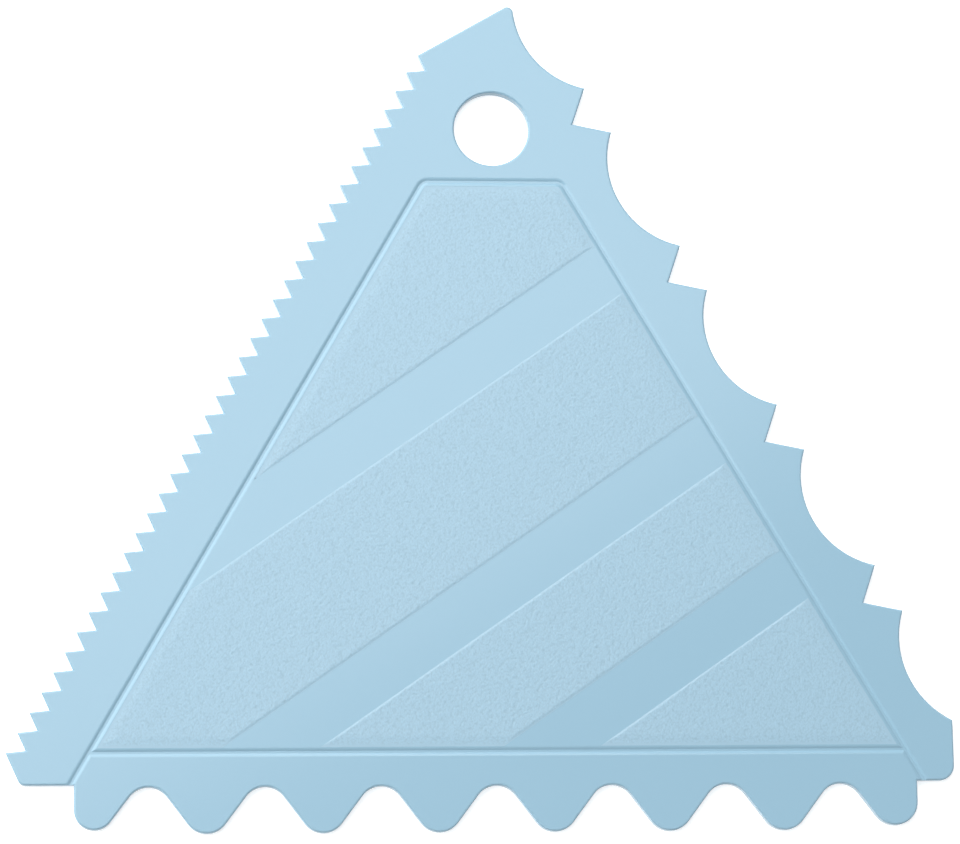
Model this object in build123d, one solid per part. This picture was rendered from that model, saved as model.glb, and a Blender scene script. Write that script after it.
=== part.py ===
from build123d import *
import os
from math import atan2, cos, degrees, radians, sin, sqrt

# Icing smoother: a flat triangular decorating comb, moulded in one piece.
# Lengths are in millimetres. The comb lies on its back with its face up, +Z out of the face.
# It is drawn about the middle of the bottom groove, with Y up the comb, and moved at the end
# so that the origin is at the bottom centre of the finished comb.

# Plate
plate_thickness = 1.6
front_edge_radius = 0.25
back_edge_radius = 0.2

# Moulded grooves: their centre lines form the grip panel, a triangle with its top cut off
panel_side = 106.3
top_groove_drop = 16.1
groove_corner_radius = 1.3
groove_flank_angle = 33
groove_shoulder_radius = 0.75
groove_floor_radius = 0.1
groove_floor_width = 0.26

# Straight top edge of the head, square to the scallop edge
head_overhang = 6.0
crown_radius = 0.8

# Saw-tooth edge, left
saw_reach = 9.25
saw_pitch = 3.0
saw_depth = 2.1
saw_top_land = 1.0
saw_end_land = 5.5

# Scallop edge, right
scallop_reach = 9.45
scallop_depth = 4.0
scallop_radius = 12.0
notch_width = 7.0
scallop_end_cut = 6.85

# Wave edge, bottom
wave_pitch = 15.0
wave_depth = 6.0
wave_shift = 0.5
wave_reach = 10.4
wave_flank_angle = 53.0
left_cheek = 2.0
left_end_radius = 2.6
right_cheek = 2.6
right_end_radius = 3.0

# Feet of the two side strips
foot_drop = 4.1
left_foot_radius = 1.0
right_foot_radius = 2.0

# Hanging hole
hole_radius = 5.0
hole_rise = 7.3

# Raised grained bands across the grip panel, with smooth stripes between them
stripe_angle = 34.8
stripe_width = 7.2
wide_band_width = 19.2
middle_band_width = 13.6
corner_stripe_place = 3.35
band_rise = 0.06
band_margin = 0.05

# Length by which a cutting shape runs past what it cuts
overrun = 3.0

# Directions of the triangle
slope_angle = 60
slope = radians(slope_angle)
up_left_side = Vector(cos(slope), sin(slope))
out_left = Vector(-sin(slope), cos(slope))
up_right_side = Vector(-cos(slope), sin(slope))
out_right = Vector(sin(slope), cos(slope))
left_corner = Vector(-panel_side / 2, 0)
right_corner = Vector(panel_side / 2, 0)
plate_span = panel_side + saw_reach + scallop_reach


def left_point(along, out):
    """Point by the left groove: distance up the groove, and distance outwards from it."""
    return left_corner + up_left_side * along + out_left * out


def right_point(along, out):
    """Point by the right groove: distance up the groove, and distance outwards from it."""
    return right_corner + up_right_side * along + out_right * out


def meet(start, direction, other, other_direction):
    """Point where two straight lines meet."""
    turn = direction.cross(other_direction).Z
    return start + direction * ((other - start).cross(other_direction).Z / turn)


def heading(angle):
    """Unit vector that points at an angle in degrees from +X."""
    return Vector(cos(radians(angle)), sin(radians(angle)))


def arc(centre, radius, start, end):
    """Circular edge about a centre, from one angle to another in degrees."""
    angles = (start, (start + end) / 2, end)
    return Edge.make_three_point_arc(*[centre + heading(angle) * radius for angle in angles])


def lines(points):
    """Straight edges from point to point."""
    return [Edge.make_line(start, end) for start, end in zip(points[:-1], points[1:])]


def polygon(points):
    """Flat face with straight sides."""
    return Face(Wire(lines(points + points[:1])))


def nearest(vertices, point):
    """The vertex that lies nearest to a point."""
    return min(vertices, key=lambda vertex: (Vector(vertex.X, vertex.Y) - point).length)


def rim_section(wall, side, depth):
    """Section, in X and Z, of a shape that cuts the plate and rounds both rims of the cut.

    The cut's wall stands at X = wall, and the shape goes on from there to the given side.
    """
    eighth = sin(radians(45))

    def at(out, height):
        return Vector(wall + side * out, 0, height)

    back, front = back_edge_radius, front_edge_radius
    shoulder = plate_thickness - front
    back_middle = at(back * (eighth - 1), back * (1 - eighth))
    front_middle = at(front * (eighth - 1), shoulder + front * eighth)
    edges = lines([at(depth, -overrun), at(-back, -overrun), at(-back, 0)])
    edges.append(Edge.make_three_point_arc(at(-back, 0), back_middle, at(0, back)))
    edges += lines([at(0, back), at(0, shoulder)])
    edges.append(Edge.make_three_point_arc(at(0, shoulder), front_middle, at(-front, plate_thickness)))
    top = plate_thickness + overrun
    edges += lines([at(-front, plate_thickness), at(-front, top), at(depth, top), at(depth, -overrun)])
    return Face(Wire(edges))


def round_cut(centre, radius):
    """Shape that cuts a round bay or hole and rounds its rims."""
    return Pos(centre.X, centre.Y) * revolve(rim_section(radius, -1, radius), Axis.Z)


def vee_cut(root, out, half_angle, reach):
    """Shape that cuts a vee and rounds its rims: root point, outward direction, half angle in degrees."""
    halves = []
    for side in (-1, 1):
        wall_angle = degrees(atan2(out.Y, out.X)) + side * half_angle
        half = extrude(rim_section(0, side, reach), amount=reach, dir=(0, 1, 0), both=True)
        halves.append(Pos(root.X, root.Y) * Rot(0, 0, wall_angle - 90) * half)
    return halves[0] & halves[1]


# Places that follow from the driving sizes
top_groove_height = panel_side * sin(slope) - top_groove_drop
hole_height = top_groove_height + hole_rise
top_along = panel_side + head_overhang
scallop_root_reach = scallop_reach - scallop_depth
bay_half_chord = sqrt(scallop_radius**2 - (scallop_radius - scallop_depth) ** 2)
scallop_pitch = 2 * bay_half_chord + notch_width
bay_gaps = int(panel_side / scallop_pitch)
bay_centre_reach = scallop_root_reach + scallop_radius
saw_root_reach = saw_reach - saw_depth
saw_half_angle = degrees(atan2(saw_pitch / 2, saw_depth))
saw_outer = left_point(0, saw_reach + overrun)
saw_tip_line = left_point(0, saw_reach)
foot_line = Vector(0, -foot_drop)
sideways = Vector(1, 0)
upwards = Vector(0, 1)

# Roots of the saw teeth, counted down from the top edge until the foot comes near
top_edge_start = right_point(top_along, 0)
saw_top = meet(saw_tip_line, up_left_side, top_edge_start, out_right)
saw_foot = meet(saw_tip_line, up_left_side, foot_line, sideways)
saw_length = (saw_top - saw_foot).length
saw_count = int((saw_length - saw_top_land - saw_end_land) / saw_pitch) + 1
first_root_along = (saw_top - left_corner).dot(up_left_side) - saw_top_land
saw_roots = [
    left_point(first_root_along - tooth * saw_pitch, saw_root_reach) for tooth in range(saw_count)
]

# The last tooth's lower flank runs on to the foot of the strip
last_tip = saw_roots[-1] - up_left_side * (saw_pitch / 2) + out_left * saw_depth
end_flank = heading(slope_angle - 90 - saw_half_angle)
left_foot = meet(last_tip, end_flank, foot_line, sideways)

# Wave edge: round lobes and round valleys of one radius, joined by straight flanks
half_wave = wave_pitch / 2
flank_sin = sin(radians(wave_flank_angle))
flank_cos = cos(radians(wave_flank_angle))
wave_radius = (half_wave * flank_sin - wave_depth * flank_cos) / (2 * (1 - flank_cos))
valley_count = int(panel_side / wave_pitch)
first_lobe_x = -wave_shift - valley_count * half_wave
last_lobe_x = first_lobe_x + valley_count * wave_pitch
regular_centre_y = wave_radius - wave_reach
wave_left_x = first_lobe_x - left_cheek
wave_right_x = last_lobe_x + right_cheek


def end_centre(side_x, radius, lobe_x, towards):
    """Centre of an end lobe: it touches the strip's side and the regular flank of its valley."""
    centre_x = side_x + towards * radius
    inwards = towards * (centre_x - lobe_x)
    rise = (radius - wave_radius + inwards * flank_sin) / flank_cos
    return Vector(centre_x, regular_centre_y + rise)


left_end_centre = end_centre(wave_left_x, left_end_radius, first_lobe_x, 1)
right_end_centre = end_centre(wave_right_x, right_end_radius, last_lobe_x, -1)
flank_turn = wave_flank_angle + 90
wave_arcs = [arc(left_end_centre, left_end_radius, 180, 270 + wave_flank_angle)]
for valley in range(valley_count):
    valley_x = first_lobe_x + (valley + 0.5) * wave_pitch
    valley_centre = Vector(valley_x, wave_depth - wave_reach - wave_radius)
    lobe_centre = Vector(valley_x + half_wave, regular_centre_y)
    wave_arcs.append(arc(valley_centre, wave_radius, flank_turn, 180 - flank_turn))
    wave_arcs.append(arc(lobe_centre, wave_radius, -flank_turn, flank_turn - 180))
wave_arcs[-1] = arc(right_end_centre, right_end_radius, -flank_turn, 0)
wave_edges = wave_arcs[:1]
for bend, next_bend in zip(wave_arcs[:-1], wave_arcs[1:]):
    wave_edges += lines([bend @ 1, next_bend @ 0]) + [next_bend]

# Blank outline, left standing proud where the saw teeth and scallops are cut
scallop_tip_line = right_point(0, scallop_reach)
scallop_corner = meet(scallop_tip_line, up_right_side, foot_line, sideways)
right_foot = scallop_corner - sideways * scallop_end_cut
scallop_outer = right_point(0, scallop_reach + overrun)
blank_start = meet(saw_outer, up_left_side, top_edge_start, out_right)
blank_crown = right_point(top_along, scallop_reach + overrun)
blank_shoulder = meet(scallop_outer, up_right_side, right_foot, upwards)
blank_flank = meet(last_tip, end_flank, saw_outer, up_left_side)
wave_left_top = Vector(wave_left_x, -foot_drop)
wave_right_top = Vector(wave_right_x, -foot_drop)
outline = lines([blank_start, blank_flank, left_foot, wave_left_top, wave_edges[0] @ 0])
outline += wave_edges
outline += lines([wave_edges[-1] @ 1, wave_right_top, right_foot])
outline += lines([right_foot, blank_shoulder, blank_crown, blank_start])
blank = Sketch() + Face(Wire(outline))
blank = fillet([nearest(blank.vertices(), left_foot)], left_foot_radius)
blank = fillet([nearest(blank.vertices(), right_foot)], right_foot_radius)


def kept(edge):
    """Whether an edge of the blank is still there once the teeth and scallops are cut."""
    middle = edge.center()
    place = Vector(middle.X, middle.Y)
    off_saw = (place - saw_outer).dot(out_left)
    off_scallop = (place - scallop_outer).dot(out_right)
    return max(off_saw, off_scallop) < -front_edge_radius


plate = extrude(blank, amount=plate_thickness)
plate = fillet(plate.edges().group_by(Axis.Z)[-1].filter_by(kept), front_edge_radius)
plate = fillet(plate.edges().group_by(Axis.Z)[0].filter_by(kept), back_edge_radius)

# Saw teeth
plate -= [vee_cut(root, out_left, saw_half_angle, saw_pitch + overrun) for root in saw_roots]

# Scallops: round bays, with a pointed notch midway between each two
bay_alongs = [panel_side - bay * scallop_pitch for bay in range(bay_gaps + 1)]
notch_half_angle = degrees(atan2(notch_width / 2, scallop_depth))
notch_reach = notch_width + overrun
for along in bay_alongs:
    plate -= round_cut(right_point(along, bay_centre_reach), scallop_radius)
for along in bay_alongs[:-1]:
    notch_root = right_point(along - scallop_pitch / 2, scallop_root_reach)
    plate -= vee_cut(notch_root, out_right, notch_half_angle, notch_reach)

# Rounded crown between the top edge and the first bay
crown_along = top_along - crown_radius
crown_back = sqrt((scallop_radius + crown_radius) ** 2 - (crown_along - panel_side) ** 2)
crown_centre = right_point(crown_along, bay_centre_reach - crown_back)
towards_bay = right_point(panel_side, bay_centre_reach) - crown_centre
crown_start = degrees(atan2(towards_bay.Y, towards_bay.X))
crown_turn = 180 - slope_angle - crown_start
crown_section = rim_section(crown_radius, 1, overrun)
crown_cut = Rot(0, 0, crown_start) * revolve(crown_section, Axis.Z, revolution_arc=crown_turn)
plate -= Pos(crown_centre.X, crown_centre.Y) * crown_cut

# Hanging hole through the head
plate -= round_cut(Vector(0, hole_height), hole_radius)


# A groove is a shallow valley: its wide round shoulders roll down to a narrow flat floor
groove_turn = groove_shoulder_radius + groove_floor_radius
groove_half_width = groove_floor_width / 2 + groove_turn * sin(radians(groove_flank_angle))
groove_depth = groove_turn * (1 - cos(radians(groove_flank_angle)))


def groove_section():
    """Cross-section of a groove: X across it, and Y the height above the front face."""
    half, turn = groove_half_width, groove_flank_angle
    rim, floor = groove_shoulder_radius, groove_floor_radius
    floor_edge, floor_height = groove_floor_width / 2, floor - groove_depth
    right_flank = [
        arc(Vector(half, -rim), rim, 90, 90 + turn),
        arc(Vector(floor_edge, floor_height), floor, turn - 90, -90),
    ]
    left_flank = [
        arc(Vector(-floor_edge, floor_height), floor, -90, -turn - 90),
        arc(Vector(-half, -rim), rim, 90 - turn, 90),
    ]
    floor_line = lines([right_flank[-1] @ 1, left_flank[0] @ 0])
    corners = [Vector(-half, 0), Vector(-half, overrun), Vector(half, overrun), Vector(half, 0)]
    return Face(Wire(right_flank + floor_line + left_flank + lines(corners)))


# Grooves in the face: one round the sides and top of the panel, and one along its bottom
top_left = left_point(top_groove_height / sin(slope), 0)
top_right = right_point(top_groove_height / sin(slope), 0)
tail_length = foot_drop / sin(slope) + overrun
left_tail = left_corner - up_left_side * tail_length
right_tail = right_corner - up_right_side * tail_length
front_face = Plane(origin=(0, 0, plate_thickness))
round_path = FilletPolyline(left_tail, top_left, top_right, right_tail, radius=groove_corner_radius)
side_start = Plane(left_tail, x_dir=out_left, z_dir=up_left_side)
side_groove = sweep(side_start * groove_section(), path=round_path)
bottom_start = Plane(left_corner, x_dir=upwards, z_dir=sideways)
bottom_groove = extrude(bottom_start * groove_section(), amount=panel_side, dir=sideways)
plate -= front_face * side_groove
plate -= front_face * bottom_groove

# The moulding is divided along the middle of its grooves into the panel, the head and three strips
left_far = left_corner - up_left_side * plate_span
right_far = right_corner - up_right_side * plate_span
beyond_left = out_left * plate_span
beyond_right = out_right * plate_span
zones = {
    "saw_tooth_strip": [left_far, top_left, top_left + beyond_left, left_far + beyond_left],
    "scallop_strip": [right_far, right_far + beyond_right, top_right + beyond_right, top_right],
    "wave_strip": [left_far, right_far, right_corner, left_corner],
    "hanging_head": [top_left, top_right, top_right + beyond_right, top_left + beyond_left],
    "grip_panel": [left_corner, right_corner, top_right, top_left],
}
under_plate = Pos(0, 0, -overrun)
nodes = {}
for name, corners in zones.items():
    zone = extrude(polygon(corners), amount=plate_thickness + 2 * overrun)
    nodes[name] = plate & (under_plate * zone)

# Raised bands: the panel's field inside its grooves, crossed by three smooth stripes
inset = groove_half_width + band_margin
field_left = left_point(0, -inset)
field_right = right_point(0, -inset)
field_bottom = Vector(0, inset)
field_top = Vector(0, top_groove_height - inset)
field = polygon(
    [
        meet(field_left, up_left_side, field_bottom, sideways),
        meet(field_right, up_right_side, field_bottom, sideways),
        meet(field_right, up_right_side, field_top, sideways),
        meet(field_left, up_left_side, field_top, sideways),
    ]
)
corner_band_start = corner_stripe_place + stripe_width / 2
middle_band_end = corner_band_start - stripe_width
middle_band_start = middle_band_end - middle_band_width
wide_band_end = middle_band_start - stripe_width
wide_band_start = wide_band_end - wide_band_width
top_band_end = wide_band_start - stripe_width
bands = {
    "grain_band_top": (-plate_span, top_band_end),
    "grain_band_wide": (wide_band_start, wide_band_end),
    "grain_band_middle": (middle_band_start, middle_band_end),
    "grain_band_corner": (corner_band_start, plate_span),
}
for name, (start, end) in bands.items():
    ribbon = Pos((start + end) / 2, 0) * Rectangle(end - start, 2 * plate_span)
    outline = field & (Rot(0, 0, stripe_angle - 90) * ribbon)
    nodes[name] = front_face * extrude(outline, amount=band_rise, taper=45)

# Origin at the bottom centre of the finished comb
box = plate.bounding_box()
to_origin = Pos(-box.center().X, -box.center().Y)
os.makedirs("parts", exist_ok=True)
for name, solid in nodes.items():
    placed = to_origin * solid
    placed.label = name
    export_step(placed, f"parts/{name}.step")
    print(name, placed.is_valid, len(placed.solids()), "solids", round(placed.volume, 2), "mm3")

print("plate", plate.is_valid, len(plate.solids()), plate.volume, plate.bounding_box())
print("wave radius", wave_radius, "saw teeth", saw_count, "bays", len(bay_alongs), scallop_pitch)
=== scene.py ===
# %% [markdown]
# # A decorating comb in pale-blue plastic
#
# The real comb is one flat injection moulding: a triangle with a saw-tooth edge, a scalloped edge
# and a wavy edge, for drawing lines in soft icing. A moulded groove runs round its grip panel, and
# four raised bands with an etched grain cross the panel. Nothing on it moves.
#
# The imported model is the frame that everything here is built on. Its outline, grooves and rounded
# rims are exact, so those zones keep their meshes and get a finish. The four bands are plain slabs
# in the frame, and they are modelled anew with their grain.

from math import asin, ceil, degrees, radians

import bmesh
import bpy
from mathutils import Matrix, Vector, noise
from mathutils.geometry import convex_hull_2d


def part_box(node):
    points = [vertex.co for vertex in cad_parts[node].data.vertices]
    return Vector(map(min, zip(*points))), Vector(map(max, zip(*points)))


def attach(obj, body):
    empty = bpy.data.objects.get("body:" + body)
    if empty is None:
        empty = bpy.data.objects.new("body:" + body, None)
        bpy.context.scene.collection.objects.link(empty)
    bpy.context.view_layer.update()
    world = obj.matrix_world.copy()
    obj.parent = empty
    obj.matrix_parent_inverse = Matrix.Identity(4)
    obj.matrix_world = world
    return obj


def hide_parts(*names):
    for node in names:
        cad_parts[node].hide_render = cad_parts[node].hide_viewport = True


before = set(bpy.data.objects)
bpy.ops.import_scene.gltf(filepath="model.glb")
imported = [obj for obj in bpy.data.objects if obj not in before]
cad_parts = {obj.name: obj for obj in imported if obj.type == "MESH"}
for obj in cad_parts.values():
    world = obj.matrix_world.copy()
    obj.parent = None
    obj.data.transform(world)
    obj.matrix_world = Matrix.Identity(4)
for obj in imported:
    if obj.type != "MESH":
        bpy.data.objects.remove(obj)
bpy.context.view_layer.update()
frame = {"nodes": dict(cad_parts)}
MM = 0.001
print("Zones:", ", ".join(frame["nodes"]))

# %% [markdown]
# ## The camera
#
# A flat thing photographed from above shows its perspective only in small ways. The long sides of
# the groove are 60 degrees apart on the real comb, and on a photograph they are not quite, and the
# hole shows a sliver of its upper wall. Together these tell where the camera stood: high over the
# comb with a long lens, a little to the left, and a hand's breadth towards the wavy edge.
#
# A camera can be aimed by typing its angles, by a constraint, or by building its axes. The last is
# used here: one vector points back from the comb to the camera, the picture's upright follows the
# comb, and a small roll is added at the end. That keeps each number something one can picture.
# The lamp further down is aimed with the same function.

# %% Aim along an axis
def upright(back):
    """Rotation of a camera or lamp whose back points along a vector, with its top towards +Y."""
    across = Vector((0, 1, 0)).cross(back).normalized()
    return Matrix((across, back.cross(across), back)).transposed().to_quaternion()


print("Straight down:", tuple(upright(Vector((0, 0, 1)))))

# %% Place the camera
SENSOR_WIDTH = 36.0
LENS = 147.2
CAMERA_OFFSET = Vector((-45.04, -96.07, 505.62)) * MM
CAMERA_ROLL = radians(-0.824)
AIM = Vector((0.024, -1.513, 1.6)) * MM
NEAREST, FURTHEST = 10 * MM, 10.0

camera_data = bpy.data.cameras.new("camera")
camera_data.sensor_width = SENSOR_WIDTH
camera_data.lens = LENS
camera_data.clip_start, camera_data.clip_end = NEAREST, FURTHEST
camera = bpy.data.objects.new("camera", camera_data)
bpy.context.collection.objects.link(camera)
bpy.context.scene.camera = camera

roll = Matrix.Rotation(CAMERA_ROLL, 3, "Z").to_quaternion()
camera.rotation_mode = "QUATERNION"
camera.rotation_quaternion = upright(CAMERA_OFFSET.normalized()) @ roll
camera.location = AIM + CAMERA_OFFSET
print("Camera distance, in mm:", round(CAMERA_OFFSET.length / MM))

# %% [markdown]
# ## Colours and nodes
#
# Colours are written as they look on a screen, in sRGB hex, and one function turns them into the
# linear values that a renderer counts in. A second small function adds any node to a material with
# its settings and its links, so that each material below reads as a list of what it is made of.

# %% Helpers for colours and nodes
def linear(hex_colour):
    """Linear RGBA of an sRGB hex colour such as "a0c8dc"."""
    channels = [int(hex_colour[place:place + 2], 16) / 255 for place in (0, 2, 4)]
    return tuple(
        channel / 12.92 if channel < 0.04045 else ((channel + 0.055) / 1.055) ** 2.4
        for channel in channels
    ) + (1.0,)


def add(tree, kind, settings=(), **inputs):
    """Add a node. Settings are its properties, and inputs are values or the sockets that feed it.

    An input is named as on the node, with _ for a space, or by its number, as in _0.
    """
    node = tree.nodes.new(kind)
    for key, value in dict(settings).items():
        setattr(node, key, value)
    for key, value in inputs.items():
        name = key.replace("_", " ")
        socket = node.inputs[int(name[1:]) if name[1:].isdigit() else name]
        if isinstance(value, bpy.types.NodeSocket):
            tree.links.new(value, socket)
        else:
            socket.default_value = value
    return node


def clear_tree(owner):
    """The empty node tree of a material or a world."""
    owner.use_nodes = True
    owner.node_tree.nodes.clear()
    return owner.node_tree


print("Mid grey, linear:", round(linear("808080")[0], 3))

# %% [markdown]
# ## The light
#
# The photograph has the plain look of a product table: white all round, and a large softbox over
# the upper left. The comb's flat face answers with a slow change from light to dark, because it
# mirrors the near edge of that softbox as a wide blur. Rims and groove flanks that lean to the
# upper left catch the softbox in full and shine, and those that lean away from it go dark.
#
# A small lamp near the mirrored line of sight would give the slow change as well, but it would
# leave the flanks dull, since they lean past it. So the size of the lamp can be read from the
# grooves. The lamp and the white surroundings add up to about one unit of light on the face, so a
# colour comes out of the render much as it is written.

# %% Softbox
LAMP_DIRECTION = Vector((-0.681, 0.616, 1.0)).normalized()
LAMP_DISTANCE = 1.0
LAMP_LENGTH, LAMP_WIDTH = 1.59, 1.51
LAMP_TURN = radians(35)
LAMP_POWER = 21.9

lamp_data = bpy.data.lights.new("softbox", "AREA")
lamp_data.shape = "RECTANGLE"
lamp_data.size, lamp_data.size_y = LAMP_LENGTH, LAMP_WIDTH
lamp_data.energy = LAMP_POWER
lamp = bpy.data.objects.new("softbox", lamp_data)
lamp.location = LAMP_DIRECTION * LAMP_DISTANCE
lamp.rotation_mode = "QUATERNION"
turn = Matrix.Rotation(LAMP_TURN, 3, "Z").to_quaternion()
lamp.rotation_quaternion = upright(LAMP_DIRECTION) @ turn
bpy.context.collection.objects.link(lamp)
print("Lamp height, in degrees:", round(90 - degrees(LAMP_DIRECTION.angle(Vector((0, 0, 1))))))

# %% [markdown]
# The white tent round the table is the world. What the camera sees of it, straight or mirrored in
# the gloss, is plain white. As a lamp it is weaker, and that light comes from low down only, out of
# the skirt where the tent meets the table. Low light hardly reaches the flat face, but it brightens
# the moulded edges of the comb, which would go too dark under the softbox alone.

# %% White tent
SKIRT_LIGHT, ROOF_LIGHT = 1.0, 0.0
SKIRT_TOP = 0.7


def seen(tree):
    """1 for a ray from the camera, off gloss or through glass, and 0 for a ray of soft light."""
    path = add(tree, "ShaderNodeLightPath").outputs
    either = add(
        tree, "ShaderNodeMath", {"operation": "MAXIMUM"},
        _0=path["Is Camera Ray"], _1=path["Is Glossy Ray"],
    )
    return add(
        tree, "ShaderNodeMath", {"operation": "MAXIMUM"},
        _0=either.outputs["Value"], _1=path["Is Transmission Ray"],
    ).outputs["Value"]


tent = bpy.data.worlds.new("white_tent")
bpy.context.scene.world = tent
tree = clear_tree(tent)
direction = add(tree, "ShaderNodeTexCoord").outputs["Generated"]
height = add(tree, "ShaderNodeSeparateXYZ", Vector=direction).outputs["Z"]
lamp_light = add(
    tree, "ShaderNodeMapRange", Value=height,
    From_Max=SKIRT_TOP, To_Min=SKIRT_LIGHT, To_Max=ROOF_LIGHT,
)
strength = add(
    tree, "ShaderNodeMapRange", Value=seen(tree), To_Min=lamp_light.outputs["Result"], To_Max=1.0,
)
cloth = add(tree, "ShaderNodeBackground", Color=(1, 1, 1, 1), Strength=strength.outputs["Result"])
add(tree, "ShaderNodeOutputWorld", Surface=cloth.outputs["Background"])
print("Skirt of the tent, in degrees:", round(degrees(asin(SKIRT_TOP))))

# %% [markdown]
# ## The floor
#
# A sheet of white board. By itself it would come out light grey, as a board does that gets one
# unit of light. A glow that only the eye sees lifts it to white and leaves a trace of the comb's
# shadow. The glow does not light the comb, so it changes nothing on it.
#
# Two faces in the same place flicker in a render, so the board lies a hair under the comb's flat
# back. It has one side only: looked at from underneath it isn't there, and the back can be seen.
# So that the back isn't black then, a ray that starts right on the board goes through it too.

# %% White board
FLOOR_SIZE = 4.0
BOARD_WHITE = "e7e7e7"
BOARD_GLOW = 0.72
BOARD_GAP = 0.02 * MM
RIGHT_ON_BOARD = 0.1 * MM

bpy.ops.mesh.primitive_plane_add(size=FLOOR_SIZE, location=(0, 0, -BOARD_GAP))
floor = bpy.context.object
floor.name = "white_board"
board = bpy.data.materials.new("matt_white_board")
tree = clear_tree(board)
matt = add(tree, "ShaderNodeBsdfDiffuse", Color=linear(BOARD_WHITE))
lift = add(tree, "ShaderNodeMath", {"operation": "MULTIPLY"}, _0=seen(tree), _1=BOARD_GLOW)
glow = add(tree, "ShaderNodeEmission", Color=(1, 1, 1, 1), Strength=lift.outputs["Value"])
sum_up = add(tree, "ShaderNodeAddShader", _0=matt.outputs["BSDF"], _1=glow.outputs["Emission"])
underneath = add(tree, "ShaderNodeNewGeometry").outputs["Backfacing"]
ray_length = add(tree, "ShaderNodeLightPath").outputs["Ray Length"]
starts_here = add(
    tree, "ShaderNodeMath", {"operation": "LESS_THAN"}, _0=ray_length, _1=RIGHT_ON_BOARD,
)
goes_through = add(
    tree, "ShaderNodeMath", {"operation": "MAXIMUM"},
    _0=underneath, _1=starts_here.outputs["Value"],
)
gone = add(tree, "ShaderNodeBsdfTransparent")
one_sided = add(
    tree, "ShaderNodeMixShader", Fac=goes_through.outputs["Value"],
    _1=sum_up.outputs["Shader"], _2=gone.outputs["BSDF"],
)
add(tree, "ShaderNodeOutputMaterial", Surface=one_sided.outputs["Shader"])
floor.data.materials.append(board)
print("Floor:", board.name)

# %% [markdown]
# ## The plastic
#
# The comb is moulded in polypropylene with the pigment mixed in, so the colour goes right through
# and nothing can peel or show a second colour at the edges. What changes from place to place is
# only the surface, and that is a copy of the steel it was moulded against.
#
# Where the steel was stoned and polished, the plastic has a satin sheen: it blurs what it mirrors
# but still has a highlight. Where the steel was etched, the plastic has a fine grain that scatters
# the highlight. The bands are also painted a shade paler, a painted sheen for that scattered
# highlight, so the bands stand out from the stripes between them.
#
# The IOR of polypropylene is 1.49. A satin moulding usually has a roughness of about 0.2, and an
# etched one about 0.4, and both were matched to this comb from there. Uneven cooling makes the
# sheen a little cloudy, over a centimetre or so. Polishing leaves the steel faintly wavy, over just
# under a millimetre, and etching leaves pits of a quarter of a millimetre. Both come back in the
# plastic as a relief of a few thousandths of a millimetre at most.
#
# The valleys of a grain lie in shade and its tops catch the light. That shade and light are painted
# into the colour of the bands: the mesh of a band carries the height of its grain at each point,
# and the plastic of the bands is painted darker by it in the valleys and paler on the tops. A
# smooth zone has one colour, which is set on the shader itself.

# %% Mass-coloured polypropylene
PP_IOR = 1.49
CLOUD_SIZE = 14 * MM
CLOUD_SHARE = 0.02
CLOUD_DETAIL, RELIEF_DETAIL = 3.0, 2.0
GRAIN_LAYER = "grain_height"


def polypropylene(name, colour, sheen_blur, relief_size, relief_height, relief_strength, painted_shade_gain=None):
    """The comb's plastic: its colour, how blurred its sheen is, and its fine relief.

    Where the plastic is grained, shade and light are painted into its colour: the colour is that of
    a valley, and painted_shade_gain says how many times brighter the top of a granule is painted.
    """
    material = bpy.data.materials.new(name)
    tree = clear_tree(material)
    place = add(tree, "ShaderNodeTexCoord").outputs["Object"]
    clouds = add(
        tree, "ShaderNodeTexNoise", Vector=place, Scale=1 / CLOUD_SIZE, Detail=CLOUD_DETAIL,
    )
    blur = add(
        tree, "ShaderNodeMapRange", Value=clouds.outputs["Fac"],
        To_Min=sheen_blur - CLOUD_SHARE, To_Max=sheen_blur + CLOUD_SHARE,
    )
    relief = add(
        tree, "ShaderNodeTexNoise", Vector=place, Scale=1 / relief_size, Detail=RELIEF_DETAIL,
    )
    bump = add(
        tree, "ShaderNodeBump", Height=relief.outputs["Fac"],
        Distance=relief_height, Strength=relief_strength,
    )
    plastic = add(
        tree, "ShaderNodeBsdfPrincipled", Base_Color=linear(colour), IOR=PP_IOR,
        Roughness=blur.outputs["Result"], Normal=bump.outputs["Normal"],
    )
    # Painted shade and light: the grain's valleys are painted darker and its tops paler.
    if painted_shade_gain:
        grain_height = add(tree, "ShaderNodeAttribute", {"attribute_name": GRAIN_LAYER})
        painted_light_factor = add(
            tree, "ShaderNodeMapRange", Value=grain_height.outputs["Fac"], To_Min=1.0, To_Max=painted_shade_gain,
        )
        painted_shade_colour = add(
            tree, "ShaderNodeHueSaturation", Color=linear(colour), Value=painted_light_factor.outputs["Result"],
        )
        tree.links.new(painted_shade_colour.outputs["Color"], plastic.inputs["Base Color"])
    add(tree, "ShaderNodeOutputMaterial", Surface=plastic.outputs["BSDF"])
    return material


# %% Satin zones and etched bands
satin = polypropylene(
    "pp_from_polished_steel", "97bed3", sheen_blur=0.154,
    relief_size=0.8 * MM, relief_height=0.004 * MM, relief_strength=0.2,
)
# The bands' colour carries painted shade in the grain's valleys and painted light on its tops.
etched = polypropylene(
    "pp_from_etched_steel", "94b4c6", sheen_blur=0.30,
    relief_size=0.25 * MM, relief_height=0.01 * MM, relief_strength=0.5, painted_shade_gain=1.35,
)
for node in frame["nodes"].values():
    node.material_slots[0].material = satin
print("Plastics:", satin.name, etched.name)

# %% [markdown]
# ## The grained bands
#
# The mould has four shallow pockets that were etched with acid through a mask. The plastic fills
# them, so each band stands a hair proud of the panel, slopes down softly at its sides, and carries
# the grain of the etched steel: low granules with fine valleys between them.
#
# The grain could be a bump in the material, but here it is in the mesh, because a band seen along
# the face should be rough in outline too. A band's foot is read from the frame, so the piece fits
# whatever the pocket measures.

# %% Foot of a band
NEAR = 0.01 * MM


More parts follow.
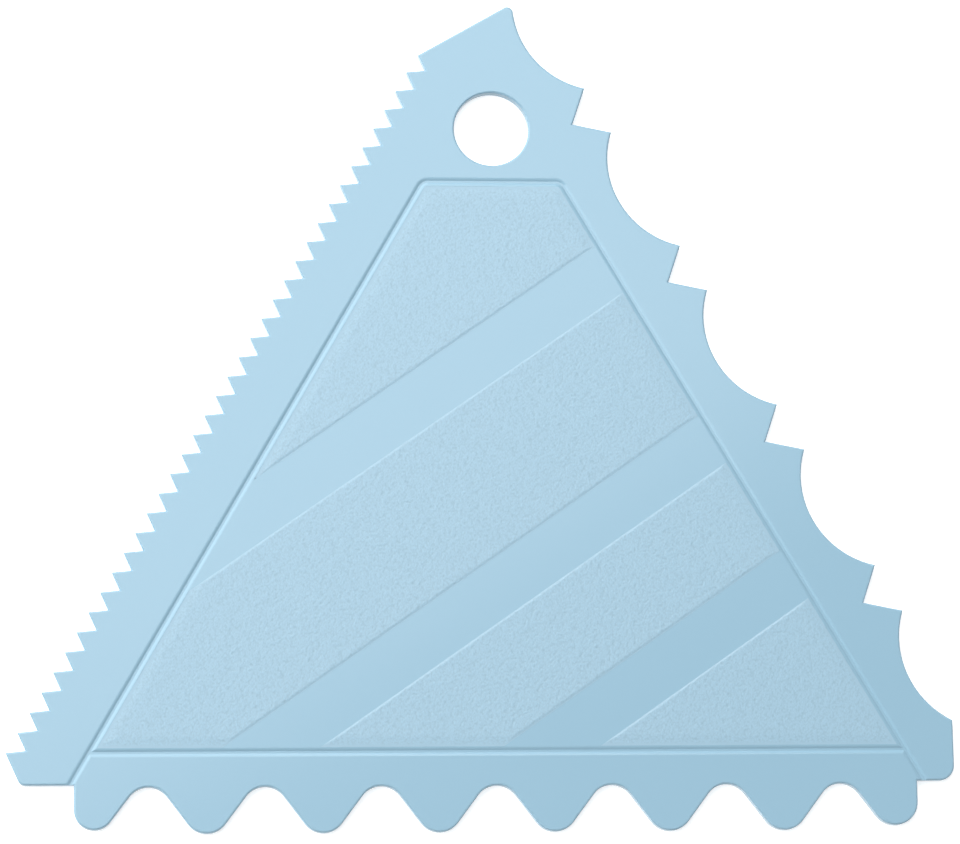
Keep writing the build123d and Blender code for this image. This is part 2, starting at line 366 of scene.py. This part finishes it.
def foot_of(node):
    """Corners of a band's foot, anticlockwise."""
    places = [vertex.co for vertex in node.data.vertices]
    lowest = min(place.z for place in places)
    foot = [place.xy for place in places if place.z < lowest + NEAR]
    hull = [foot[index] for index in convex_hull_2d(foot)]
    return [
        corner for corner, before in zip(hull, hull[-1:] + hull[:-1])
        if (corner - before).length > NEAR
    ]


BANDS = [name for name in frame["nodes"] if name.startswith("grain_band")]
for name in BANDS:
    print(name, "has", len(foot_of(frame["nodes"][name])), "corners")

# %% [markdown]
# A band has three kinds of sides. The side towards the hanging hole is a crisp step, which catches
# the light as a bright line. The opposite side is a softer step and shows as a faint dark line. The
# sides beside the grooves run out so gently that no step shows there at all. The foot of each side
# is bare, since the etcher's mask kept clear of it, and from there the grain sets in over a margin.

# %% Sides of a band
STRIPE_DIRECTION = radians(34.8)
UPPER_SLOPE, LOWER_SLOPE, GROOVE_SLOPE = 0.27 * MM, 0.45 * MM, 1.5 * MM
STRIPE_MARGIN, GROOVE_MARGIN = 0.2 * MM, 0.3 * MM
BARE_SHARE = 0.125  # of a slope
PARALLEL = 0.99  # cosine from which a side counts as running along the stripes


def sides_of(corners):
    """Each side of a band: a corner on it, its outward direction, and two widths.

    The first width is that of its slope, and the second that of the margin of its grain.
    """
    stripe = Matrix.Rotation(STRIPE_DIRECTION, 2) @ Vector((1, 0))
    sides = []
    for start, end in zip(corners, corners[1:] + corners[:1]):
        along = (end - start).normalized()
        out = Vector((along.y, -along.x))
        widths = (GROOVE_SLOPE, GROOVE_MARGIN)
        if abs(along.dot(stripe)) > PARALLEL:
            widths = (UPPER_SLOPE if out.y > 0 else LOWER_SLOPE, STRIPE_MARGIN)
        sides.append((start, out, *widths))
    return sides


# %% [markdown]
# Height is worked out point by point. Each side gives a smooth step from 0 at the foot to 1 at the
# end of its slope, and the least of these steps rules, so that corners come out mitred. The grain
# is a cell pattern: each cell is a low peak, highest at its middle, and a quarter of a millimetre
# wide as on a real etched pocket. The mesh is just fine enough to give each granule about two
# points. The grain swings evenly about the level of the plain slope beside it, so the band doesn't
# sink where the grain begins.

# %% Height of a band
GRAIN_SIZE = 0.24 * MM
GRAIN_SHARE = 0.65
GRAIN_MEAN = 0.5
PLAIN_SHARE = 1 - GRAIN_SHARE * (1 - GRAIN_MEAN)


def ease(share):
    """A smooth step from 0 to 1."""
    share = max(0.0, min(1.0, share))
    return share * share * (3 - 2 * share)


def grain(place):
    """Height of the etched grain at a point, from 0 in a valley to 1 on a granule."""
    nearest = noise.voronoi(place / GRAIN_SIZE)[0][0]
    return max(0.0, 1 - nearest)


def band_surface(place, sides, rise):
    """Height of a band's surface over its foot, and the height of its grain from 0 to 1."""
    step = grained = 1.0
    for corner, out, slope, margin in sides:
        depth = (corner - place.xy).dot(out)
        step = min(step, ease(depth / slope))
        grained = min(grained, ease((depth - BARE_SHARE * slope) / margin))
    swing = grained * (grain(place) - GRAIN_MEAN)
    return rise * step * (PLAIN_SHARE + GRAIN_SHARE * swing), GRAIN_MEAN + swing


# %% [markdown]
# The mesh starts as a fine grid laid along the stripes. It is cut off along each side of the foot,
# and cut again, without taking anything away, a few times across each slope, so that the slope has
# rows of its own to bend along. Then every point is lifted, and a plain underside closes the body.

# %% Mesh of a band
CELL = 0.14 * MM
SLOPE_ROWS = 4


def grid_over(corners, height):
    """A flat grid along the stripes that covers an outline."""
    turn = Matrix.Rotation(STRIPE_DIRECTION, 2)
    turned = [turn.inverted() @ corner for corner in corners]
    least = Vector([min(corner[axis] for corner in turned) for axis in (0, 1)])
    most = Vector([max(corner[axis] for corner in turned) for axis in (0, 1)])
    middle, half = (least + most) / 2, (most - least) / 2
    place = (
        Matrix.Rotation(STRIPE_DIRECTION, 4, "Z")
        @ Matrix.Translation((middle.x, middle.y, height))
        @ Matrix.Diagonal((half.x, half.y, 1, 1))
    )
    mesh = bmesh.new()
    bmesh.ops.create_grid(
        mesh, x_segments=ceil(2 * half.x / CELL), y_segments=ceil(2 * half.y / CELL),
        size=1, matrix=place,
    )
    return mesh


def cut(mesh, corner, out, depth, clear):
    """Cut a grid along a line inside a side, and clear what lies outside it if asked to."""
    bmesh.ops.bisect_plane(
        mesh, geom=mesh.verts[:] + mesh.edges[:] + mesh.faces[:], clear_outer=clear,
        plane_co=(corner - out * depth).to_3d(), plane_no=out.to_3d(),
    )


def close_under(mesh):
    """Shade the top smoothly, and close it with a plain underside behind a sharp edge."""
    rim = [edge for edge in mesh.edges if edge.is_boundary]
    for edge in rim:
        edge.smooth = False
    for face in mesh.faces:
        face.smooth = True
    underside = bmesh.ops.edgeloop_fill(mesh, edges=rim)["faces"]
    bmesh.ops.poke(mesh, faces=underside)
    bmesh.ops.recalc_face_normals(mesh, faces=mesh.faces)


def band_mesh(name, node):
    """The closed, grained body of a band."""
    low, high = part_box(name)
    corners = foot_of(node)
    sides = sides_of(corners)
    mesh = grid_over(corners, low.z)
    for corner, out, slope, margin in sides:
        cut(mesh, corner, out, 0.0, clear=True)
    for corner, out, slope, margin in sides:
        for row in range(1, SLOPE_ROWS):
            cut(mesh, corner, out, slope * row / SLOPE_ROWS, clear=False)
    bmesh.ops.remove_doubles(mesh, verts=mesh.verts, dist=NEAR / 2)
    grain_height = mesh.verts.layers.float.new(GRAIN_LAYER)
    for vertex in mesh.verts:
        height, vertex[grain_height] = band_surface(vertex.co, sides, high.z - low.z)
        vertex.co.z += height
    close_under(mesh)
    return mesh


# %% Lay the bands on the panel
for name in BANDS:
    mesh = band_mesh(name, frame["nodes"][name])
    data = bpy.data.meshes.new(name + "_etched")
    mesh.to_mesh(data)
    open_edges = sum(edge.is_boundary for edge in mesh.edges)
    mesh.free()
    data.materials.append(etched)
    piece = bpy.data.objects.new(name + "_etched", data)
    bpy.context.collection.objects.link(piece)
    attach(piece, "root")
    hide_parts(name)
    print(piece.name, "has", len(data.polygons), "faces and", open_edges, "open edges")

# %% [markdown]
# ## Finish
#
# The last cell sets the view transform to Standard.

# %% Finish
bpy.context.scene.view_settings.view_transform = "Standard"
